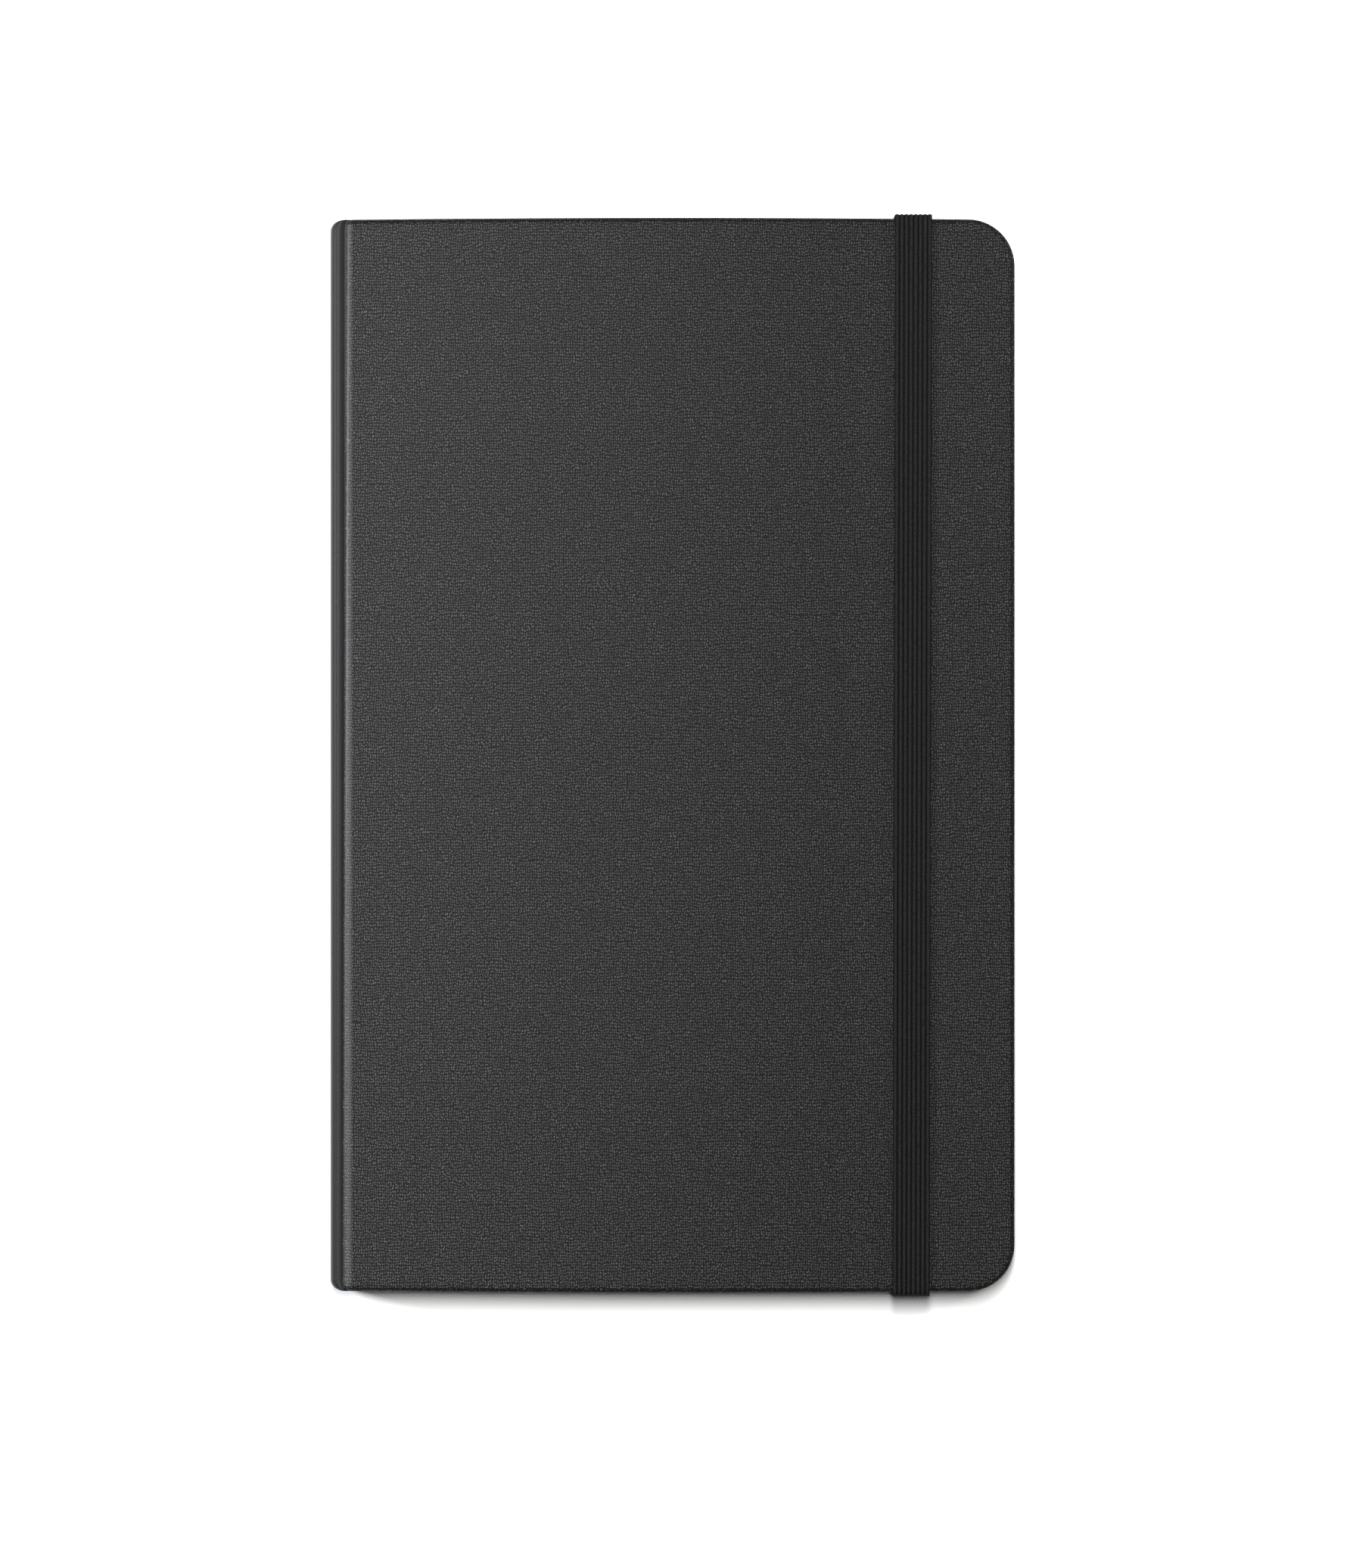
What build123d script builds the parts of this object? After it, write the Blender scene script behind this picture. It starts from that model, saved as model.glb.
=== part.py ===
from build123d import *
import os

# A hardcover sketchbook lying closed on its back cover, in millimetres.
# X runs from the spine (-X) to the fore edge (+X), Y from tail (-Y) to head (+Y), and Z is up.
# The origin is on the table under the middle of the closed book.

# Driving dimensions
WIDTH = 133.3  # cover, from the spine's outer face to the fore edge
HEIGHT = 209.4  # cover, from tail to head
SIGNATURES = 13  # sewn sections in the text block
SHEETS_PER_SIGNATURE = 2  # folded sheets nested in each section
LEAF = 0.185  # thickness of one leaf of heavy drawing paper
FOLD_SLIT = 0.02  # space inside the innermost fold of a section
SECTION_GAP = 0.04  # space between neighbouring sections
PAPER_GAP = 0.02  # space between a flyleaf and its neighbours

WRAP = 0.35  # leatherette covering
BOARD = 1.4  # greyboard of a cover
ENDPAPER = 0.15  # pastedown and flyleaf
SQUARE = 3.0  # how far the covers stand out past the text block
TURN_IN = 14.0  # how far the covering is folded over onto a board's inside
COVER_CORNER = 9.0  # corner radius of a cover at the fore edge
HINGE_CORNER = 1.2  # corner radius of a cover at the spine
BOARD_CORNER = 1.0  # corner radius of a board at the spine
BOARD_ROUND = 0.3  # rounding of a board's outer edges
PAGE_CORNER = 6.5  # corner radius of the text block at the fore edge
EDGE_ROUND = 0.6  # rounding of a cover's outer edges

GROOVE_IN = 2.3  # from the spine's outer face to the middle of the joint groove
RIDGE_IN = 3.5  # from the spine's outer face to the covered edge of a board
GROOVE_DEPTH = 0.8
FOLD_IN = 2.65  # from the spine's outer face to the backs of the folded sections
JOINT_SLIT = 0.3  # between the spine's covering and a cover's covering, in the groove

SPINE_CARD = 0.7
SPINE_CARD_SHORT = 2.4  # how far the card stops before the head and tail edges
SPINE_WRAP_SHORT = 0.2  # how far the spine's covering stops before the head and tail edges
SPINE_SHOULDER = 1.1  # width of the flat strip along each long edge of the spine
SPINE_DROP = 0.25  # how far that strip lies below the covers' outer faces
SPINE_ROLL = 0.6  # bend radius of the covering at the spine's long edges
LINING = 0.2  # cloth glued over the folds
LINING_REACH = 1.0  # how far the lining stands out past the leaves
THREAD = 0.3
THREAD_STATIONS = 6
THREAD_FROM_EDGE = 12.0  # from a leaf's head or tail edge to the first sewing station
BAND_RADIUS = 0.6  # head and tail bands

POCKET_CARD = 0.3
GUSSET_PLY = 0.13
GUSSET_GAP = 0.04
GUSSET_WIDTH = 9.0
POCKET_MOUTH_Y = 84.0  # the pocket opens towards the head
POCKET_FOLD = 0.6  # the panel's tail edge, folded down
POCKET_MARGIN = 3.0  # between the pocket and the edges of the pastedown

ELASTIC_WIDTH = 7.2
ELASTIC = 0.84  # thickness of the stretched band
ELASTIC_FROM_FORE_EDGE = 20.0  # to the middle of the band
SLIT_FROM_EDGE = 12.0  # from the head or tail edge to the elastic's slit in the back cover
SLIT = 1.0
SLIT_PLAY = 0.1  # between the elastic and each long side of its slit
ANCHOR_LENGTH = 15.0  # glued end of the elastic inside the back cover
ELASTIC_PLAY = 0.4  # the channel's extra width around the elastic
SKIM = 0.02  # clearance between the elastic and what it lies on
PAST = 1.0  # how far a cutting shape stands out past what it cuts

# Derived places
COVER = BOARD + 2 * WRAP
SPINE_X = -WIDTH / 2
FORE_X = WIDTH / 2
HEAD_Y = HEIGHT / 2
GROOVE_X = SPINE_X + GROOVE_IN
RIDGE_X = SPINE_X + RIDGE_IN
BOARD_X = RIDGE_X + WRAP
PAGE_FORE_X = FORE_X - SQUARE
PAGE_HEAD_Y = HEAD_Y - SQUARE
FOLD_X = SPINE_X + FOLD_IN
LINING_X = FOLD_X - PAPER_GAP - THREAD - LINING
ELASTIC_X = FORE_X - ELASTIC_FROM_FORE_EDGE
POCKET_X = (RIDGE_X + POCKET_MARGIN, PAGE_FORE_X - POCKET_MARGIN)
POCKET_TAIL_Y = 1.0 - PAGE_HEAD_Y

GUSSET = 2 * GUSSET_PLY + GUSSET_GAP
SECTION = 2 * SHEETS_PER_SIGNATURE * LEAF + FOLD_SLIT
POCKET_Z = COVER + ENDPAPER
POCKET_CARD_Z = POCKET_Z + GUSSET
BACK_FLYLEAF_Z = POCKET_CARD_Z + POCKET_CARD + PAPER_GAP
BLOCK_Z = BACK_FLYLEAF_Z + ENDPAPER + PAPER_GAP
BLOCK = SIGNATURES * (SECTION + SECTION_GAP) - SECTION_GAP
FRONT_FLYLEAF_Z = BLOCK_Z + BLOCK + PAPER_GAP
FRONT_PASTEDOWN_Z = FRONT_FLYLEAF_Z + ENDPAPER + PAPER_GAP
THICKNESS = FRONT_PASTEDOWN_Z + ENDPAPER + COVER


def span(x, y, z):
    """A box between the low and high values given for each axis."""
    size = [high - low for low, high in (x, y, z)]
    middle = [(high + low) / 2 for low, high in (x, y, z)]
    return Pos(*middle) * Box(*size)


def plate(x, half_y, z, fore_corner, spine_corner=0.0):
    """A flat plate whose corners are rounded at the fore edge and at the spine."""
    outline = Pos((x[0] + x[1]) / 2, 0) * Rectangle(x[1] - x[0], 2 * half_y)
    outline = fillet(outline.vertices().group_by(Axis.X)[-1], fore_corner)
    if spine_corner:
        outline = fillet(outline.vertices().group_by(Axis.X)[0], spine_corner)
    return Pos(0, 0, z[0]) * extrude(outline, z[1] - z[0])


def turned_over(part):
    """The same part on the front cover: its mirror image about the book's middle plane."""
    return mirror(part, Plane.XY.offset(THICKNESS / 2))


def elastic_channel(side):
    """The path pressed into the back cover for one end of the elastic; side is 1 at the head."""
    half = (ELASTIC_WIDTH + ELASTIC_PLAY) / 2
    x = (ELASTIC_X - half, ELASTIC_X + half)
    slit_y = HEAD_Y - SLIT_FROM_EDGE
    outside = span(x, (slit_y - SLIT, HEAD_Y + PAST), (-PAST, ELASTIC + 2 * SKIM))
    through = span(x, (slit_y - SLIT, slit_y), (-PAST, COVER + PAST))
    inside_y = (slit_y - SLIT - ANCHOR_LENGTH, slit_y)
    inside = span(x, inside_y, (COVER - ELASTIC - SKIM, COVER + PAST))
    channel = outside + through + inside
    return channel if side > 0 else mirror(channel, Plane.XZ)


def elastic_anchor(side):
    """The end of the elastic: from the cover's edge, through the slit, to its glued end."""
    x = (ELASTIC_X - ELASTIC_WIDTH / 2, ELASTIC_X + ELASTIC_WIDTH / 2)
    slit_y = HEAD_Y - SLIT_FROM_EDGE
    near, far = slit_y - SLIT_PLAY, slit_y - SLIT + SLIT_PLAY
    outer_leg = span(x, (far, HEAD_Y - SKIM), (SKIM, SKIM + ELASTIC))
    riser = span(x, (far, near), (SKIM, COVER))
    glued_end = span(x, (far - ANCHOR_LENGTH, near), (COVER - ELASTIC, COVER))
    anchor = outer_leg + riser + glued_end
    return anchor if side > 0 else mirror(anchor, Plane.XZ)


def cover_board():
    """The greyboard of the back cover, before the elastic's channels."""
    x = (BOARD_X, FORE_X - WRAP)
    board = plate(x, HEAD_Y - WRAP, (WRAP, WRAP + BOARD), COVER_CORNER - WRAP, BOARD_CORNER)
    return fillet(board.edges().group_by(Axis.Z)[0], BOARD_ROUND)


def infill_place():
    """The area on a board's inside that the turned-in covering leaves free."""
    x = (BOARD_X, FORE_X - TURN_IN)
    half_y = HEAD_Y - TURN_IN
    return span(x, (-half_y, half_y), (WRAP + BOARD, COVER))


def cover_wrap():
    """The leatherette around the back board, with turn-ins and half of the joint groove."""
    skin = plate((RIDGE_X, FORE_X), HEAD_Y, (0, COVER), COVER_CORNER, HINGE_CORNER)
    skin = fillet(skin.edges().group_by(Axis.Z)[0], EDGE_ROUND)
    groove_half = span(
        (GROOVE_X + JOINT_SLIT / 2, RIDGE_X + WRAP),
        (-HEAD_Y + HINGE_CORNER, HEAD_Y - HINGE_CORNER),
        (GROOVE_DEPTH, GROOVE_DEPTH + WRAP),
    )
    return skin + groove_half - cover_board() - infill_place()


def pastedown():
    """The endpaper glued to the back cover's inside."""
    x = (BOARD_X, PAGE_FORE_X)
    return plate(x, PAGE_HEAD_Y, (COVER, COVER + ENDPAPER), PAGE_CORNER)


def flyleaf(z):
    return plate((FOLD_X, PAGE_FORE_X), PAGE_HEAD_Y, (z, z + ENDPAPER), PAGE_CORNER)


def signature(z):
    """One sewn section: folded sheets nested in each other, with their folds at the spine."""
    sheets = []
    for nest in range(SHEETS_PER_SIGNATURE):
        low, high = z + nest * LEAF, z + SECTION - nest * LEAF
        fold = FOLD_X + nest * LEAF
        around = plate((fold, PAGE_FORE_X), PAGE_HEAD_Y, (low, high), PAGE_CORNER)
        inside = span((fold + LEAF, FORE_X), (-HEAD_Y, HEAD_Y), (low + LEAF, high - LEAF))
        sheets.append(around - inside)
    return Compound(children=sheets)


def spine_wrap():
    """The leatherette over the spine, from groove to groove."""
    middle = WRAP / 2
    near, far = GROOVE_X - JOINT_SLIT / 2, SPINE_X + middle
    shoulder_x = far + SPINE_SHOULDER
    crest = SPINE_DROP + middle
    route = [
        (near, GROOVE_DEPTH + middle),
        (shoulder_x, crest),
        (far, crest),
        (far, THICKNESS - crest),
        (shoulder_x, THICKNESS - crest),
        (near, THICKNESS - GROOVE_DEPTH - middle),
    ]
    section = Plane.XZ * trace(FilletPolyline(*route, radius=SPINE_ROLL), WRAP)
    return extrude(section, HEAD_Y - SPINE_WRAP_SHORT, both=True)


def end_band(side):
    """A rolled cloth band glued over the end of the folds; side is 1 at the head."""
    y = side * (PAGE_HEAD_Y + BAND_RADIUS + PAPER_GAP)
    x = LINING_X + LINING + BAND_RADIUS
    height = FRONT_FLYLEAF_Z - BLOCK_Z
    return Pos(x, y, BLOCK_Z + height / 2) * Cylinder(BAND_RADIUS, height)


def sewing_threads():
    """The linking stitches that run across the folds, one line at each sewing station."""
    x = LINING_X + LINING + THREAD / 2
    reach = PAGE_HEAD_Y - THREAD_FROM_EDGE
    step = 2 * reach / (THREAD_STATIONS - 1)
    lines = []
    for station in range(THREAD_STATIONS):
        place = Pos(x, -reach + station * step, BLOCK_Z + BLOCK / 2)
        lines.append(place * Cylinder(THREAD / 2, BLOCK))
    return Compound(children=lines)


def pocket_panel():
    """The front of the inside pocket, with its tail edge folded down onto the pastedown."""
    y = (POCKET_TAIL_Y, POCKET_MOUTH_Y)
    card = span(POCKET_X, y, (POCKET_CARD_Z, POCKET_CARD_Z + POCKET_CARD))
    tail_fold = span(POCKET_X, (y[0], y[0] + POCKET_FOLD), (POCKET_Z, POCKET_CARD_Z))
    return card + tail_fold


def pocket_gusset(side):
    """A cloth side of the pocket, folded flat inwards; side is 1 at the fore edge."""
    inner, outer = POCKET_X[1] - GUSSET_WIDTH, POCKET_X[1]
    y = (POCKET_TAIL_Y + POCKET_FOLD, POCKET_MOUTH_Y)
    cloth = span((inner, outer), y, (POCKET_Z, POCKET_CARD_Z))
    slot = span(
        (inner + GUSSET_PLY, outer + PAST),
        (y[0] - PAST, y[1] + PAST),
        (POCKET_Z + GUSSET_PLY, POCKET_CARD_Z - GUSSET_PLY),
    )
    folded = cloth - slot
    middle_x = (POCKET_X[0] + POCKET_X[1]) / 2
    return folded if side > 0 else mirror(folded, Plane.YZ.offset(middle_x))


def elastic_band():
    """The closing elastic over the front cover, with its legs down past head and tail."""
    x = (ELASTIC_X - ELASTIC_WIDTH / 2, ELASTIC_X + ELASTIC_WIDTH / 2)
    end_y = HEAD_Y + SKIM + ELASTIC
    top = THICKNESS + SKIM + ELASTIC
    around = span(x, (-end_y, end_y), (SKIM, top))
    around = fillet(around.edges().filter_by(Axis.X).group_by(Axis.Z)[-1], ELASTIC)
    held = span(x, (-HEAD_Y - SKIM, HEAD_Y + SKIM), (0, THICKNESS + SKIM))
    return around - held


channels = elastic_channel(1) + elastic_channel(-1)
back_board = cover_board() - channels
back_wrap = cover_wrap() - channels
back_infill = infill_place() - channels

spine_card = span(
    (SPINE_X + WRAP, SPINE_X + WRAP + SPINE_CARD),
    (SPINE_CARD_SHORT - HEAD_Y, HEAD_Y - SPINE_CARD_SHORT),
    (COVER, THICKNESS - COVER),
)
spine_lining = span(
    (LINING_X, LINING_X + LINING),
    (-PAGE_HEAD_Y - LINING_REACH, PAGE_HEAD_Y + LINING_REACH),
    (BLOCK_Z, BLOCK_Z + BLOCK),
)

nodes = {
    "back_board": back_board,
    "back_cover_wrap": back_wrap,
    "back_infill_card": back_infill,
    "back_pastedown": pastedown(),
    "pocket_panel": pocket_panel(),
    "pocket_gusset_spine_side": pocket_gusset(-1),
    "pocket_gusset_fore_edge_side": pocket_gusset(1),
    "elastic_anchor_head": elastic_anchor(1),
    "elastic_anchor_tail": elastic_anchor(-1),
    "elastic_band": elastic_band(),
    "spine_wrap": spine_wrap(),
    "spine_card": spine_card,
    "spine_lining": spine_lining,
    "sewing_threads": sewing_threads(),
    "head_band": end_band(1),
    "tail_band": end_band(-1),
    "front_board": turned_over(cover_board()),
    "front_cover_wrap": turned_over(cover_wrap()),
    "front_infill_card": turned_over(infill_place()),
    "front_pastedown": turned_over(pastedown()),
    "front_flyleaf": flyleaf(FRONT_FLYLEAF_Z),
    "back_flyleaf": flyleaf(BACK_FLYLEAF_Z),
}

# Section 1 is next to the front cover, and the last one is next to the back cover.
for number in range(1, SIGNATURES + 1):
    below = (SIGNATURES - number) * (SECTION + SECTION_GAP)
    nodes[f"signature_{number:02d}"] = signature(BLOCK_Z + below)

os.makedirs("parts", exist_ok=True)
for name, shape in nodes.items():
    export_step(shape, f"parts/{name}.step")
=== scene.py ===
import bpy
import math
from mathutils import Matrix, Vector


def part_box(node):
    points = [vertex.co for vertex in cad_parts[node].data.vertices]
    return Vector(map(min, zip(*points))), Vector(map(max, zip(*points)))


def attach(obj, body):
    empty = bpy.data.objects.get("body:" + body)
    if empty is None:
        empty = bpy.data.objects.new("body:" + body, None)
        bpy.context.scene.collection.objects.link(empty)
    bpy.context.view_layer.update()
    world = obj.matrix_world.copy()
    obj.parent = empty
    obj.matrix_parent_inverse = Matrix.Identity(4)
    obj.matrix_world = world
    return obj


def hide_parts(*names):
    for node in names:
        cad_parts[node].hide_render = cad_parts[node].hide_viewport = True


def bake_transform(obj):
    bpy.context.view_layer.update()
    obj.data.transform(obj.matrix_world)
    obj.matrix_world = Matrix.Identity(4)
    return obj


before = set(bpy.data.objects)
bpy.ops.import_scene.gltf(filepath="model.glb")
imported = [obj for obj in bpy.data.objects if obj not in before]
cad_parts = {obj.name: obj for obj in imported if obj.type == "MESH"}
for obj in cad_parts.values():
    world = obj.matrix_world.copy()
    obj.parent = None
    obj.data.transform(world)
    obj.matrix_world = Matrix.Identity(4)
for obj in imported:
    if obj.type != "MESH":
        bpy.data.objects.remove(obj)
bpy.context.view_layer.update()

MM = 0.001
SMOOTH_ANGLE = 38  # degrees; sharper edges than this stay sharp

# Places taken from the frame, in metres
cover_low, cover_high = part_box("front_cover_wrap")
spine_low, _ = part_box("spine_wrap")
page_low, page_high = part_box("signature_01")
band_low, band_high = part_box("elastic_band")
anchor_low, anchor_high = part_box("elastic_anchor_head")
SPINE_X = spine_low.x
FORE_X = cover_high.x
HEAD_Y = cover_high.y
TOP_Z = cover_high.z
COVER = cover_high.z - cover_low.z
FOLD_X = page_low.x
PAGE_FORE_X = page_high.x
PAGE_HEAD_Y = page_high.y
ELASTIC_X = (band_low.x + band_high.x) / 2

# Cover shape
FORE_CORNER = 9.0 * MM
HINGE_CORNER = 1.3 * MM
RIDGE_IN = 2.35 * MM  # the board's covered edge, from the spine's outer face
RIDGE_SLANT = 0.42 * MM  # how far that edge drifts towards the fore edge at the head
HALF_HEIGHT = 104.87 * MM  # of a cover at its middle; its head and tail edges bow slightly
EDGE_BOW = 0.40 * MM
EDGE_ROLL = 1.15 * MM  # rounding of the three outer edges
RIDGE_ROLL = 1.15 * MM  # rounding of the edge beside the groove
INNER_ROLL = 0.5 * MM
FACE_INSET = (16 * MM, 12 * MM)  # of the innermost ring on a cover's flat faces: (outer edges, ridge)
GROOVE_DEPTH = 0.5 * MM
SPINE_CORNER = 2.2 * MM  # rounding of the spine at the head and tail, seen from above
SPINE_BULGE = 0.25 * MM
SPINE_SKIN = 0.4 * MM  # thickness of its covering

# Steps round a cover's outline
FORE_STEPS = 14  # round each fore-edge corner
HINGE_STEPS = 6  # round each corner beside the groove
RIDGE_STEPS = 24  # along the edge beside the groove
EDGE_STEPS = 14  # along a head or tail edge

# Paper
SIGNATURES = 13
LEAF = 0.185 * MM
PAGE_CORNER = 6.5 * MM
NEAR_FOLD = 16 * MM  # the part of a leaf next to the fold, where its stations crowd together
ROWS = 8  # across a leaf, from tail to head

# Elastic
RIBS = 8
RIB_HEIGHT = 0.15 * MM
ELASTIC_WIDTH = 7.25 * MM
ELASTIC = 0.84 * MM
ELASTIC_TILT = 0.25 * MM  # sideways drift of the band's middle at the head and tail
ELASTIC_BEND = 0.55 * MM  # bend radius of its underside at the book's edges
ELASTIC_GAP = 0.02 * MM  # between the band and what it lies on
FLARE_SHIFT = 0.45 * MM  # how far its tail leg leans towards the spine, lower down
FLARE_SPREAD = 0.03  # how much wider that leg gets there, as a share of its width
CHANNEL = 0.88 * MM  # depth of its channels in the back cover's outside
SLIT_Y = HEAD_Y - 12 * MM  # the outer side of its slit at the head
SLIT = 1.0 * MM  # width of the slit


# ---------------------------------------------------------------- mesh helpers

def make_mesh(name, verts, faces, smooth_angle=SMOOTH_ANGLE):
    """A new mesh object, shaded smooth except across edges sharper than the angle."""
    mesh = bpy.data.meshes.new(name)
    mesh.from_pydata(verts, [], faces)
    mesh.validate()
    mesh.polygons.foreach_set("use_smooth", [True] * len(mesh.polygons))
    mesh.update()
    mesh.set_sharp_from_angle(angle=math.radians(smooth_angle))
    piece = bpy.data.objects.new(name, mesh)
    bpy.context.scene.collection.objects.link(piece)
    return piece


def loft(rings, cap_ends=True, closed=True):
    """Vertices and faces of a skin over rings of points, each ring with the same number."""
    count = len(rings[0])
    verts = [point for ring in rings for point in ring]
    faces = []
    reach = count if closed else count - 1
    for i in range(len(rings) - 1):
        for j in range(reach):
            a, b = i * count + j, i * count + (j + 1) % count
            faces.append((a, b, b + count, a + count))
    if cap_ends:
        faces.append(tuple(reversed(range(count))))
        last = (len(rings) - 1) * count
        faces.append(tuple(range(last, last + count)))
    return verts, faces


def arc(steps, start, end):
    """Angles from start to end, in degrees, with both ends, as (cosine, sine) pairs."""
    turns = [math.radians(start + (end - start) * i / steps) for i in range(steps + 1)]
    return [(math.cos(turn), math.sin(turn)) for turn in turns]


def smoothstep(t):
    """Eases from 0 to 1 as t does."""
    t = min(max(t, 0.0), 1.0)
    return t * t * (3 - 2 * t)


# ---------------------------------------------------------------- covers

def bowed(x, y):
    """The point's y, drawn in towards the spine and the fore edge by the bow of the edges."""
    return y * (1 - EDGE_BOW / HALF_HEIGHT * (x / FORE_X) ** 2)


def cover_outline(inset, ridge_inset, z):
    """One ring round a cover: the fore edge has large corners, the spine side small ones."""
    fore, head = FORE_X - inset, HALF_HEIGHT - inset
    big = max(FORE_CORNER - inset, 0.4 * MM)
    small = max(HINGE_CORNER - ridge_inset, 0.12 * MM)
    ring = []

    def ridge_x(y):
        return SPINE_X + RIDGE_IN + ridge_inset + RIDGE_SLANT * y / HEAD_Y

    def edge_points(start, end, y):
        """Points between the ends of a head or tail edge, so that it can bow."""
        return [(start + (end - start) * i / EDGE_STEPS, y, z) for i in range(1, EDGE_STEPS)]

    for c, s in arc(FORE_STEPS, -90, 0):
        ring.append((fore - big + big * c, -head + big + big * s, z))
    for c, s in arc(FORE_STEPS, 0, 90):
        ring.append((fore - big + big * c, head - big + big * s, z))
    ring += edge_points(fore - big, ridge_x(head) + small, head)
    for c, s in arc(HINGE_STEPS, 90, 180):
        y = head - small + small * s
        ring.append((ridge_x(y) + small + small * c, y, z))
    for i in range(1, RIDGE_STEPS):
        y = (head - small) * (1 - 2 * i / RIDGE_STEPS)
        ring.append((ridge_x(y), y, z))
    for c, s in arc(HINGE_STEPS, 180, 270):
        y = -head + small + small * s
        ring.append((ridge_x(y) + small + small * c, y, z))
    ring += edge_points(ridge_x(-head) + small, fore - big, -head)
    return [(x, bowed(x, y), z) for x, y, z in ring]


def cover_rings():
    """The front cover's rings from the middle of its inside, round its edge, to its outside."""
    inside = TOP_Z - COVER
    rings = [cover_outline(*FACE_INSET, inside), cover_outline(2 * MM, 2 * MM, inside)]
    for c, s in arc(5, -90, 0):
        sink = INNER_ROLL * (1 + s)
        inset = INNER_ROLL * (1 - c)
        rings.append(cover_outline(inset, inset, inside + sink))
    for c, s in arc(9, 0, 90):
        inset, ridge = EDGE_ROLL * (1 - c), RIDGE_ROLL * (1 - c)
        rings.append(cover_outline(inset, ridge, TOP_Z - EDGE_ROLL * (1 - s)))
    rings.append(cover_outline(3.0 * MM, 2.0 * MM, TOP_Z))
    rings.append(cover_outline(*FACE_INSET, TOP_Z))
    return rings


def turned_over(verts, faces):
    """The same skin on the back cover, mirrored about the book's middle plane."""
    return [(x, y, TOP_Z - z) for x, y, z in verts], [tuple(reversed(f)) for f in faces]


def cut(piece, low, high):
    """Cuts a box out of a piece."""
    xs, ys, zs = zip(low, high)
    corners = [(x, y, z) for x in xs for y in ys for z in zs]
    sides = [(0, 1, 3, 2), (4, 6, 7, 5), (0, 4, 5, 1), (2, 3, 7, 6), (0, 2, 6, 4), (1, 5, 7, 3)]
    tool = make_mesh("cutter", corners, sides)
    modifier = piece.modifiers.new("cut", "BOOLEAN")
    modifier.operation = "DIFFERENCE"
    modifier.object = tool
    modifier.solver = "EXACT"
    evaluated = piece.evaluated_get(bpy.context.evaluated_depsgraph_get())
    mesh = bpy.data.meshes.new_from_object(evaluated)
    piece.modifiers.clear()
    piece.data = mesh
    mesh.set_sharp_from_angle(angle=math.radians(SMOOTH_ANGLE))
    bpy.data.objects.remove(tool)


def cut_elastic_ways(back):
    """Cuts the elastic's channel and slit out of the back cover, at the head and at the tail."""
    play = 0.2 * MM
    overlap = 0.01 * MM
    left_over = 0.9 * MM  # of the cover, inside the slit
    left, right = anchor_low.x - play, anchor_high.x + play
    for side in (1, -1):
        near = (side * SLIT_Y, side * (HEAD_Y + SLIT))
        cut(back, (left, min(near), -SLIT), (right, max(near), CHANNEL))
        far = (side * (SLIT_Y - SLIT), side * (SLIT_Y + overlap))
        cut(back, (left, min(far), -SLIT), (right, max(far), COVER - left_over))


def make_covers():
    """The coverings of the front and back covers."""
    verts, faces = loft(cover_rings())
    front = make_mesh("front_covering", verts, faces)
    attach(front, "front_cover")
    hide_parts("front_cover_wrap")
    back = make_mesh("back_covering", *turned_over(verts, faces))
    cut_elastic_ways(back)
    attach(back, "back_cover")
    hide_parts("back_cover_wrap")
    for piece in (front, back):
        piece.data.materials.append(leather)


# ---------------------------------------------------------------- spine and joint grooves

def spine_profile():
    """The outside of the spine's front half: (in from the spine's face, down from the top)."""
    middle = TOP_Z / 2
    points = [(-SPINE_BULGE, middle), (-SPINE_BULGE, middle * 0.7)]
    points += [(-SPINE_BULGE, 3.2 * MM), (-0.7 * SPINE_BULGE, 2.5 * MM)]
    roll_x, roll_z = 1.2 * MM, 1.6 * MM
    crest = 0.12 * MM  # how far the roll's top lies below the cover's face
    for c, s in arc(12, 180, 90):
        points.append((roll_x * (1 + c), crest + roll_z * (1 - s)))
    valley_x = 2.55 * MM
    reach = valley_x - roll_x
    valley_steps = 8
    for i in range(1, valley_steps + 1):
        t = i / valley_steps
        points.append((roll_x + reach * t, crest + (GROOVE_DEPTH - crest) * t * t))
    for past, lower in ((0.35, 0.01), (1.0, 0.03), (1.9, 0.03)):
        points.append((valley_x + past * MM, GROOVE_DEPTH + lower * MM))
    return points


def inside_of(profile):
    """The profile's inner side, one thickness of covering further in."""
    inner = []
    for i, (x, down) in enumerate(profile):
        before, after = profile[max(i - 1, 0)], profile[min(i + 1, len(profile) - 1)]
        dx, dz = after[0] - before[0], after[1] - before[1]
        length = math.hypot(dx, dz)
        inner.append((x - dz / length * SPINE_SKIN, down + dx / length * SPINE_SKIN))
    return inner


def spine_stations():
    """Places along the spine from tail to head: (y, how far its corner is rounded there)."""
    corner_steps, half_steps = 10, 20
    straight = HALF_HEIGHT - EDGE_BOW - SPINE_CORNER
    tail = [(-straight - SPINE_CORNER * s, 1 - c) for c, s in arc(corner_steps, 90, 0)]
    middle = [(straight * (i / half_steps - 1), 0.0) for i in range(1, 2 * half_steps)]
    head = [(straight + SPINE_CORNER * s, 1 - c) for c, s in arc(corner_steps, 0, 90)]
    return tail + middle + head


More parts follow.
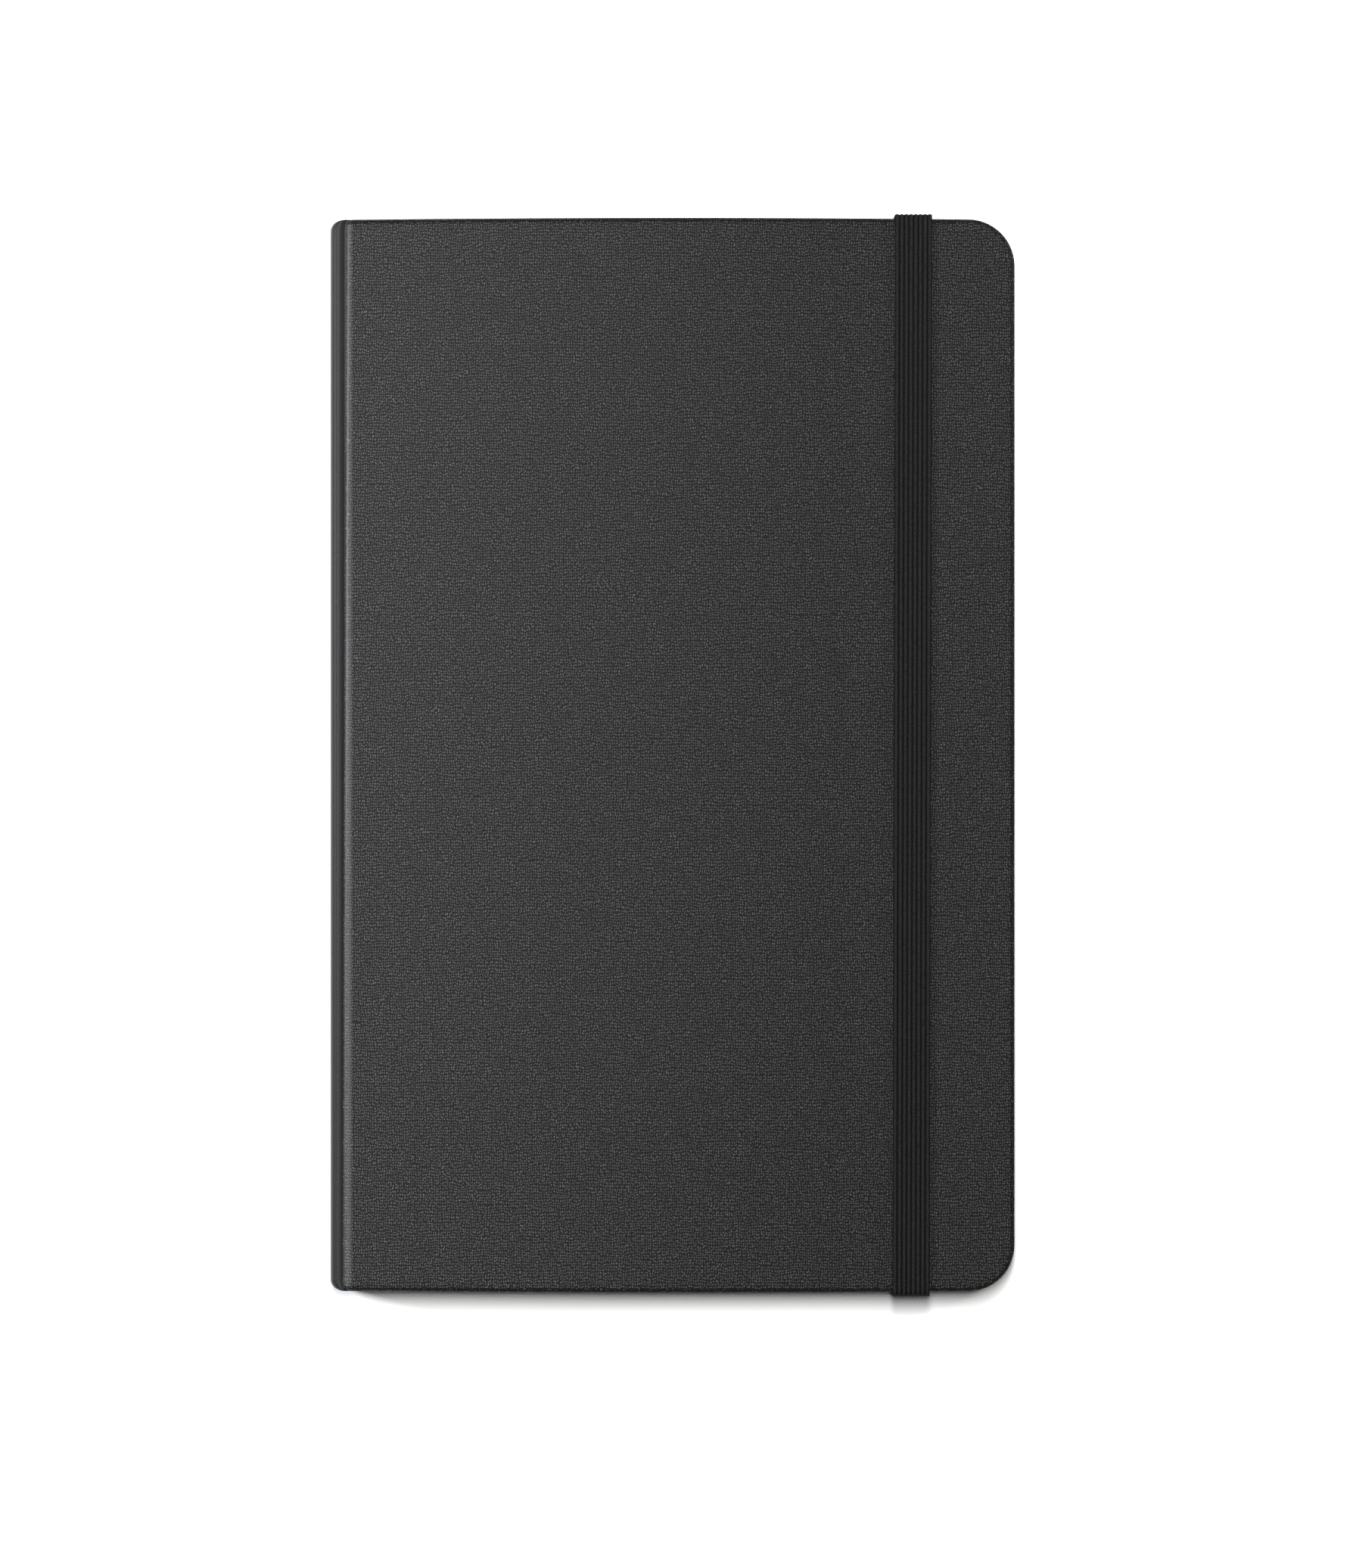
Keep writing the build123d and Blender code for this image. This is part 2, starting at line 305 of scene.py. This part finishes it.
def spine_half():
    """The skin over half of the spine, with its groove, rolled in at head and tail."""
    profile = spine_profile()
    inner = inside_of(profile)
    most_tuck = 0.9
    rings = []
    for y, rounding in spine_stations():
        tuck = most_tuck * rounding**3
        outside, inside = [], []
        for (ox, oz), (ix, iz) in zip(profile, inner):
            draw_in = SPINE_CORNER * rounding * (1 - smoothstep(ox / (2 * SPINE_CORNER)))
            x, down = ox + (ix - ox) * tuck, oz + (iz - oz) * tuck
            outside.append((SPINE_X + x + draw_in, y, TOP_Z - down))
            inside.append((SPINE_X + ix + draw_in, y, TOP_Z - iz))
        rings.append(outside + inside[::-1])
    return loft(rings)


def make_spine():
    """The spine's covering in two halves, front and back."""
    verts, faces = spine_half()
    front = make_mesh("spine_covering_front_half", verts, faces)
    back = make_mesh("spine_covering_back_half", *turned_over(verts, faces))
    for piece in (front, back):
        piece.data.materials.append(stretched_leather)
        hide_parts("spine_wrap")
    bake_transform(front)
    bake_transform(back)


# ---------------------------------------------------------------- paper

def half_height(x):
    """How far a leaf reaches in Y at x, with its corners rounded at the fore edge."""
    past = x - (PAGE_FORE_X - PAGE_CORNER)
    if past <= 0:
        return PAGE_HEAD_Y
    return PAGE_HEAD_Y - PAGE_CORNER + math.sqrt(max(PAGE_CORNER**2 - past**2, 0))


def leaf_rows(x):
    """Places in Y across a leaf at x, from tail to head."""
    reach = half_height(x)
    return [reach * (2 * i / ROWS - 1) for i in range(ROWS + 1)]


def leaf_stations(fold_x):
    """Places across a leaf, close together near the fold and round the corners."""
    near_steps, flat_steps, corner_steps = 14, 6, 8
    crowding = 1.3
    near = [fold_x + NEAR_FOLD * (i / near_steps) ** crowding for i in range(near_steps + 1)]
    flat = PAGE_FORE_X - PAGE_CORNER - near[-1]
    middle = [near[-1] + flat * i / flat_steps for i in range(1, flat_steps + 1)]
    corner = [PAGE_FORE_X - PAGE_CORNER * (1 - s) for _, s in arc(corner_steps, 0, 90)][1:]
    return near + middle + corner


def folded_sheet(low, high):
    """One folded sheet: a leaf at high, round the fold, to a leaf at low."""
    radius = (high - low - LEAF) / 2
    centre_z = (high + low) / 2
    bend_x = FOLD_X + radius + LEAF / 2
    stations = leaf_stations(bend_x)
    route = [(x, centre_z + radius, 0, 1) for x in reversed(stations)]
    route += [(bend_x + radius * c, centre_z + radius * s, c, s) for c, s in arc(8, 90, 270)[1:-1]]
    route += [(x, centre_z - radius, 0, -1) for x in stations]
    rings = []
    half = LEAF / 2
    for x, z, nx, nz in route:
        ys = leaf_rows(x)
        outer = [(x + nx * half, y, z + nz * half) for y in ys]
        inner = [(x - nx * half, y, z - nz * half) for y in reversed(ys)]
        rings.append(outer + inner)
    return loft(rings)


def join_skins(skins):
    """The vertices and faces of several skins as one."""
    verts, faces = [], []
    for more_verts, more_faces in skins:
        first = len(verts)
        verts += more_verts
        faces += [tuple(first + i for i in face) for face in more_faces]
    return verts, faces


def make_signature(number):
    """One sewn section: two folded sheets, one inside the other."""
    node = f"signature_{number:02d}"
    low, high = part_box(node)
    outer = folded_sheet(low.z, high.z)
    inner = folded_sheet(low.z + LEAF, high.z - LEAF)
    piece = make_mesh(node + "_sheets", *join_skins([outer, inner]))
    piece.data.materials.append(paper)
    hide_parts(node)
    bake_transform(piece)


def make_flyleaf(node):
    """A single leaf beside a cover."""
    low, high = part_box(node)
    rings = []
    for x in leaf_stations(FOLD_X):
        ys = leaf_rows(x)
        rings.append([(x, y, high.z) for y in ys] + [(x, y, low.z) for y in reversed(ys)])
    piece = make_mesh(node + "_sheet", *loft(rings))
    piece.data.materials.append(endpaper)
    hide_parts(node)
    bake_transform(piece)


# ---------------------------------------------------------------- elastic

def elastic_section():
    """The band's outline: (across, out), ribs outside and flat underneath."""
    points = []
    per_rib = 8
    fullness = 0.7
    lip, foot = 0.12 * MM, 0.1 * MM
    total = RIBS * per_rib
    for i in range(total + 1):
        across = ELASTIC_WIDTH * (i / total - 0.5)
        swell = abs(math.sin(math.pi * i / per_rib)) ** fullness
        points.append((across, ELASTIC - RIB_HEIGHT + RIB_HEIGHT * swell))
    half = ELASTIC_WIDTH / 2
    points += [(half, lip), (half - foot, 0), (-half + foot, 0), (-half, lip)]
    return points


def elastic_route():
    """The band's underside, from the tail slit round the book to the head slit: (y, z)."""
    edge, top = HEAD_Y + ELASTIC_GAP, TOP_Z + ELASTIC_GAP
    bend = ELASTIC_BEND
    corner_steps, leg_steps, span_steps = 6, 16, 20
    under = [(y, CHANNEL) for y in (SLIT_Y - 0.1 * MM, SLIT_Y + 3 * MM, edge - 5 * MM)]
    low_turn, high_turn = arc(corner_steps, -90, 0), arc(corner_steps, 0, 90)
    low_corner = [(edge - bend + bend * c, CHANNEL + bend + bend * s) for c, s in low_turn]
    high_corner = [(edge - bend + bend * c, top - bend + bend * s) for c, s in high_turn]
    rise = TOP_Z - CHANNEL - 2 * bend
    leg = [(edge, CHANNEL + bend + rise * i / leg_steps) for i in range(1, leg_steps)]
    span = [((edge - bend) * (1 - i / span_steps), top) for i in range(1, span_steps + 1)]
    head = under + low_corner + leg + high_corner + span
    tail = [(-y, z) for y, z in reversed(head[:-1])]
    return head + tail


def tail_flare(y, z):
    """How much the tail leg leans and spreads at a place on the band: 1 near the table, 0 above."""
    if y >= -HEAD_Y:
        return 0.0
    return 1.0 - smoothstep((z - 2 * MM) / (TOP_Z - 3 * MM))


def make_elastic():
    """The band and its hidden ends; its legs stretch between the back cover and the band."""
    route = elastic_route()
    section = elastic_section()
    rings = []
    for i, (y, z) in enumerate(route):
        before, after = route[max(i - 1, 0)], route[min(i + 1, len(route) - 1)]
        dy, dz = after[0] - before[0], after[1] - before[1]
        length = math.hypot(dy, dz)
        out_y, out_z = dz / length, -dy / length
        flare = tail_flare(y, z)
        middle = ELASTIC_X + ELASTIC_TILT * y / HEAD_Y - FLARE_SHIFT * flare
        spread = 1 + FLARE_SPREAD * flare
        ring = []
        for across, out in section:
            ring.append((middle + across * spread, y + out_y * out, z + out_z * out))
        rings.append(ring)
    piece = make_mesh("elastic_closure", *loft(rings), smooth_angle=50)
    piece.data.materials.append(elastic)
    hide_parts("elastic_band")
    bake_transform(piece)


# ---------------------------------------------------------------- head and tail bands

def make_end_band(node):
    """A rolled band with fine stitches wound round it."""
    low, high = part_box(node)
    x, y = (low.x + high.x) / 2, (low.y + high.y) / 2
    radius = (high.x - low.x) / 2
    turns = 18
    steps = turns * 6
    waist, swelling = 0.84, 0.16
    rings = []
    for i in range(steps + 1):
        swell = radius * (waist + swelling * abs(math.sin(math.pi * turns * i / steps)))
        z = low.z + (high.z - low.z) * i / steps
        rings.append([(x + swell * c, y + swell * s, z) for c, s in arc(16, 0, 360)[:-1]])
    piece = make_mesh(node + "_bead", *loft(rings), smooth_angle=60)
    piece.data.materials.append(stitched)
    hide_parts(node)
    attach(piece, "spine")


# ---------------------------------------------------------------- materials

class Nodes:
    """A short way to add nodes to a material and link them."""

    def __init__(self, name):
        self.material = bpy.data.materials.new(name)
        self.material.use_nodes = True
        self.tree = self.material.node_tree
        self.shader = self.tree.nodes["Principled BSDF"]

    def add(self, kind, **settings):
        node = self.tree.nodes.new("ShaderNode" + kind)
        for key, value in settings.items():
            setattr(node, key, value)
        return node

    def link(self, source, target):
        self.tree.links.new(source, target)

    def place(self, scale=(1, 1, 1), offset=(0, 0, 0), turn=0.0):
        """Object coordinates in metres, stretched by scale, turned about Z, moved by offset."""
        where = self.add("TexCoord")
        mapping = self.add("Mapping")
        mapping.inputs["Scale"].default_value = scale
        mapping.inputs["Location"].default_value = offset
        mapping.inputs["Rotation"].default_value = (0, 0, turn)
        self.link(where.outputs["Object"], mapping.inputs["Vector"])
        return mapping.outputs["Vector"]

    def noise(self, vector, size, detail=2.0, rough=0.5):
        """Noise whose features are about size metres across."""
        node = self.add("TexNoise")
        node.inputs["Scale"].default_value = 1 / size
        node.inputs["Detail"].default_value = detail
        node.inputs["Roughness"].default_value = rough
        self.link(vector, node.inputs["Vector"])
        return node

    def bands(self, vector, direction, size, distortion=0.0):
        """Waves across one axis, about a third of size apart."""
        node = self.add("TexWave", wave_type="BANDS", bands_direction=direction)
        node.inputs["Scale"].default_value = 1 / size
        node.inputs["Distortion"].default_value = distortion
        self.link(vector, node.inputs["Vector"])
        return node

    def math(self, operation, a, b):
        """The result of one operation on two numbers or outputs."""
        node = self.add("Math", operation=operation)
        for socket, value in zip(node.inputs, (a, b)):
            if isinstance(value, (int, float)):
                socket.default_value = value
            else:
                self.link(value, socket)
        return node.outputs[0]

    def remap(self, value, low, high, to_low, to_high):
        """The value moved from the range low, high to the range to_low, to_high."""
        node = self.add("MapRange")
        limits = {"From Min": low, "From Max": high, "To Min": to_low, "To Max": to_high}
        for key, number in limits.items():
            node.inputs[key].default_value = number
        self.link(value, node.inputs["Value"])
        return node.outputs["Result"]

    def colours(self, value, stops):
        """A colour ramp; stops are (place, colour)."""
        node = self.add("ValToRGB")
        while len(node.color_ramp.elements) < len(stops):
            node.color_ramp.elements.new(0.5)
        for element, (place, colour) in zip(node.color_ramp.elements, stops):
            element.position = place
            element.color = (*colour, 1)
        self.link(value, node.inputs["Fac"])
        return node.outputs["Color"]

    def bump(self, height, distance, strength=1.0):
        """The surface's normal, tilted by a height given in units of distance metres."""
        node = self.add("Bump")
        node.inputs["Distance"].default_value = distance
        node.inputs["Strength"].default_value = strength
        self.link(height, node.inputs["Height"])
        return node.outputs["Normal"]

    def finish(self, colour, normal, roughness, specular=None):
        """The material, with its shader's inputs set; specular is left alone where it is None."""
        self.link(normal, self.shader.inputs["Normal"])
        self.link(colour, self.shader.inputs["Base Color"])
        self.shader.inputs["Roughness"].default_value = roughness
        if specular is not None:
            self.shader.inputs["Specular IOR Level"].default_value = specular
        return self.material


def leather_gloss(n, height, shine):
    """Gloss of ground and pebble, rising towards the spine as a painted sheen, and higher on the
    ridge beside the groove, where the stretched covering is glossier and the extra gloss also paints
    a stronger highlight.
    """
    where = n.add("SeparateXYZ")
    n.link(n.place(), where.inputs["Vector"])
    x = where.outputs["X"]
    ridge_x = SPINE_X + RIDGE_IN + RIDGE_ROLL
    # Partly real, partly painted highlight: the stretched covering on the ridge is glossier, and this
    # gloss also strengthens the ridge's highlight.
    ridge_gloss_and_highlight = n.remap(x, ridge_x - 0.2 * MM, ridge_x + 0.8 * MM, 0.40, 0.0)
    spine_side, fore_side = -58 * MM, 32 * MM
    # Painted sheen: more gloss towards the spine, the side the key light comes from.
    painted_sheen_towards_spine = n.remap(x, spine_side, fore_side, 2.0, 0.70)
    pebble_shine = n.math("MULTIPLY", n.remap(height, 0.0, 1.0, *shine), painted_sheen_towards_spine)
    return n.math("ADD", pebble_shine, ridge_gloss_and_highlight)


def leather_material(name, relief, ground_grey_with_shade, pebble_grey_with_highlight, shine):
    """Black leatherette: rows of small pebbles on a duller ground.

    relief is the pebbles' height. The next two are the greys of ground and pebble: the leather's
    black, darkened on the ground as painted shade in the creases between the pebbles and lightened on
    the pebbles' tops as a painted highlight. shine is (ground, pebble); a negative shine takes away
    from the gloss that the ridge has.
    """
    n = Nodes(name)
    pitch, scatter = 0.44 * MM, 0.42
    row_stretch = 0.78
    place = n.place((1.0, row_stretch, 1.0), (0, 0, pitch * scatter / 2))
    wander = 0.9 * MM
    drift = n.noise(place, 2.0 * MM, 2.0)
    shift = n.add("VectorMath", operation="MULTIPLY_ADD")
    shift.inputs[1].default_value = (wander, wander, 0)
    n.link(drift.outputs["Color"], shift.inputs[0])
    n.link(place, shift.inputs[2])
    cells = n.add("TexVoronoi", feature="F1")
    cells.inputs["Scale"].default_value = 1 / pitch
    cells.inputs["Randomness"].default_value = scatter
    n.link(shift.outputs["Vector"], cells.inputs["Vector"])
    crown_edge, foot_edge = 0.10, 0.42
    pebble = n.remap(cells.outputs["Distance"], crown_edge, foot_edge, 1.0, 0.0)
    patches = n.noise(place, 1.1 * MM, 2.0)
    fullness = n.remap(patches.outputs["Fac"], 0.3, 0.7, 0.65, 1.05)
    height = n.math("MULTIPLY", pebble, fullness)
    blue = 1.03
    # Painted shade and highlight: the ground between the pebbles is darker as shade in the creases,
    # and the pebble tops are lighter as a highlight.
    shade_and_highlight_tones = [(0.1, (ground_grey_with_shade, ground_grey_with_shade, ground_grey_with_shade * blue)), (0.9, (pebble_grey_with_highlight, pebble_grey_with_highlight, pebble_grey_with_highlight * blue))]
    n.link(leather_gloss(n, height, shine), n.shader.inputs["Specular IOR Level"])
    return n.finish(n.colours(height, shade_and_highlight_tones), n.bump(height, relief), 0.48)


def elastic_material():
    """Black knitted elastic: fine cross threads over each rib, with painted shade darkening the lines
    between the ribs and a painted highlight lightening their tops.
    """
    n = Nodes("black_elastic")
    place = n.place()
    knit = n.bands(place, "Y", 2.1 * MM, 1.2)
    knit.inputs["Detail"].default_value = 1.0
    knit.inputs["Detail Scale"].default_value = 3.0
    knit_share = 0.25
    fibre = n.noise(place, 0.3 * MM, 3.0, 0.6)
    height = n.math("ADD", n.math("MULTIPLY", knit.outputs["Fac"], knit_share), fibre.outputs["Fac"])
    left_edge = ELASTIC_X - ELASTIC_WIDTH / 2
    across = n.place((1, 1, 1), (-left_edge, 0, 0), ELASTIC_TILT / HEAD_Y)
    ribs = n.bands(across, "X", 10 * ELASTIC_WIDTH / RIBS / math.pi)
    roundness = 0.7
    speckle = n.remap(fibre.outputs["Fac"], 0.35, 0.65, 0.0, 1.0)
    # Painted shade and highlight: darker between the ribs, lighter on their tops, flecked by the
    # fibres.
    crests = n.math("POWER", ribs.outputs["Fac"], roundness)
    lit_crests_and_speckle = n.math("MULTIPLY", crests, n.math("ADD", speckle, 0.5))
    dark, light = (0.0006, 0.0006, 0.0006), (0.0120, 0.0115, 0.0110)
    colour = n.colours(lit_crests_and_speckle, [(0.1, dark), (1.0, light)])
    return n.finish(colour, n.bump(height, 0.06 * MM, 0.8), 0.75, 0.08)


def paper_material(name, shade, light):
    """Uncoated paper with faint fibres and a slightly uneven tooth."""
    n = Nodes(name)
    place = n.place()
    fibre = n.noise(n.place((1, 0.35, 1)), 0.5 * MM, 4.0, 0.65)
    cloud = n.noise(place, 18 * MM, 3.0)
    halves = [n.math("MULTIPLY", part.outputs["Fac"], 0.5) for part in (fibre, cloud)]
    colour = n.colours(n.math("ADD", *halves), [(0.3, shade), (0.7, light)])
    tooth = n.noise(place, 0.3 * MM, 3.0, 0.6)
    return n.finish(colour, n.bump(tooth.outputs["Fac"], 0.03 * MM, 0.5), 0.9, 0.25)


def board_material():
    """Greyboard: pressed pulp with darker and lighter flecks."""
    n = Nodes("grey_board")
    fleck = n.noise(n.place(), 0.7 * MM, 5.0, 0.7).outputs["Fac"]
    dark, light = (0.24, 0.225, 0.20), (0.44, 0.42, 0.385)
    colour = n.colours(fleck, [(0.35, dark), (0.65, light)])
    return n.finish(colour, n.bump(fleck, 0.05 * MM, 0.6), 0.92)


def cloth_material(name, dark, light):
    """Plain-woven cloth with threads 0.6 mm apart."""
    n = Nodes(name)
    place = n.place()
    waves = [n.bands(place, axis, 1.9 * MM, 0.6).outputs["Fac"] for axis in ("X", "Y", "Z")]
    weave = n.math("MULTIPLY", n.math("ADD", waves[0], waves[2]), waves[1])
    colour = n.colours(weave, [(0.1, dark), (0.9, light)])
    return n.finish(colour, n.bump(weave, 0.05 * MM, 0.8), 0.85)


def stitched_material():
    """Head band silk: black and cream stitches side by side."""
    n = Nodes("head_band_silk")
    place = n.place()
    wave = n.bands(place, "Z", 3.6 * MM, 0.4)
    black, cream = (0.015, 0.015, 0.016), (0.62, 0.58, 0.48)
    colour = n.colours(wave.outputs["Fac"], [(0.45, black), (0.55, cream)])
    fibre = n.noise(place, 0.12 * MM, 2.0)
    return n.finish(colour, n.bump(fibre.outputs["Fac"], 0.03 * MM, 0.6), 0.55)


def floor_material():
    """The white table top."""
    n = Nodes("floor")
    n.shader.inputs["Base Color"].default_value = (0.94, 0.94, 0.94, 1)
    n.shader.inputs["Roughness"].default_value = 0.9
    n.shader.inputs["Specular IOR Level"].default_value = 0.1
    return n.material


def dress_cad_nodes():
    """Gives the CAD pieces that stay their materials."""
    cream = paper_material("infill", (0.52, 0.48, 0.40), (0.66, 0.62, 0.53))
    grey = board_material()
    black_cloth = cloth_material("gusset_cloth", (0.008, 0.008, 0.009), (0.03, 0.03, 0.032))
    mull = cloth_material("lining_cloth", (0.45, 0.42, 0.36), (0.72, 0.69, 0.61))
    thread = cloth_material("sewing_thread", (0.62, 0.60, 0.54), (0.82, 0.80, 0.74))
    choices = {
        "front_board": grey, "back_board": grey, "spine_card": grey,
        "front_infill_card": cream, "back_infill_card": cream,
        "front_pastedown": endpaper, "back_pastedown": endpaper, "pocket_panel": endpaper,
        "pocket_gusset_spine_side": black_cloth, "pocket_gusset_fore_edge_side": black_cloth,
        "spine_lining": mull, "sewing_threads": thread,
        "elastic_anchor_head": elastic, "elastic_anchor_tail": elastic,
    }
    for node, material in choices.items():
        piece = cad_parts[node]
        piece.data.materials.clear()
        piece.data.materials.append(material)


# ---------------------------------------------------------------- stage, lights, camera

FLOOR_REACH = 3.0
FLOOR_Z = -0.02 * MM
WORLD_COLOUR = (0.98, 0.99, 1.0, 1)
WORLD_STRENGTH = 0.095
LIGHTS = (
    # name, place, size, power in watts, colour, what it is aimed at
    ("soft_box", (0.0, 0.20, 1.5), (0.12, 0.38), 25, (1.0, 1.0, 1.0), (0.0, 0.20, 0.0)),
    ("key", (-0.48, 0.08, 0.34), (0.14, 0.18), 4.2, (0.93, 0.95, 1.0), (0, 0, 0)),
    ("fill", (0.35, 0.16, 0.11), (0.10, 0.08), 1.0, (1.0, 0.97, 0.93), (0.08, 0, 0)),
)
PICTURE_SIDE = 305.65 * MM  # the picture's longer side, measured at the top of the book
PICTURE_MIDDLE = (0.99 * MM, -5.58 * MM)
SENSOR, LENS = 36.0, 180.0


def add_light(name, place, size, power, colour, target):
    """A rectangular light aimed at a place."""
    data = bpy.data.lights.new(name, "AREA")
    data.shape = "RECTANGLE"
    data.size, data.size_y = size
    data.energy = power
    data.color = colour
    light = bpy.data.objects.new(name, data)
    bpy.context.scene.collection.objects.link(light)
    light.location = place
    aim = bpy.data.objects.new(name + "_aim", None)
    bpy.context.scene.collection.objects.link(aim)
    aim.location = target
    track = light.constraints.new("TRACK_TO")
    track.target = aim
    track.track_axis = "TRACK_NEGATIVE_Z"
    track.up_axis = "UP_Y"


def make_stage():
    """The table top, the dim surroundings and the lights."""
    around = ((-1, -1), (1, -1), (1, 1), (-1, 1))
    corners = [(x * FLOOR_REACH, y * FLOOR_REACH, FLOOR_Z) for x, y in around]
    floor = make_mesh("floor", corners, [(0, 1, 2, 3)])
    floor.data.materials.append(floor_material())
    world = bpy.data.worlds.new("studio")
    bpy.context.scene.world = world
    world.use_nodes = True
    background = world.node_tree.nodes["Background"]
    background.inputs["Color"].default_value = WORLD_COLOUR
    background.inputs["Strength"].default_value = WORLD_STRENGTH
    for light in LIGHTS:
        add_light(*light)


def make_camera():
    """Straight down on the front cover, with a long lens."""
    data = bpy.data.cameras.new("camera")
    data.sensor_width = SENSOR
    data.lens = LENS
    camera = bpy.data.objects.new("camera", data)
    bpy.context.scene.collection.objects.link(camera)
    camera.location = (0, 0, TOP_Z + PICTURE_SIDE * LENS / SENSOR)
    data.shift_x = PICTURE_MIDDLE[0] / PICTURE_SIDE
    data.shift_y = PICTURE_MIDDLE[1] / PICTURE_SIDE
    data.clip_start = 0.05
    data.clip_end = 20
    bpy.context.scene.camera = camera
    view = bpy.context.scene.view_settings
    view.view_transform = "Standard"
    view.look = "None"


# Each leatherette's two greys are its black with painted shade in the creases and a painted highlight
# on the pebbles.
leather = leather_material("black_leatherette", 0.04 * MM, 0.0080, 0.060, (0.03, 0.20))
stretched_leather = leather_material("stretched_leatherette", 0.01 * MM, 0.012, 0.022, (-0.12, -0.10))
elastic = elastic_material()
paper = paper_material("drawing_paper", (0.42, 0.40, 0.34), (0.50, 0.475, 0.41))
endpaper = paper_material("endpaper", (0.40, 0.375, 0.315), (0.48, 0.455, 0.395))
stitched = stitched_material()

make_covers()
make_spine()
for section_number in range(1, SIGNATURES + 1):
    make_signature(section_number)
make_flyleaf("front_flyleaf")
make_flyleaf("back_flyleaf")
make_elastic()
make_end_band("head_band")
make_end_band("tail_band")
dress_cad_nodes()
make_stage()
make_camera()
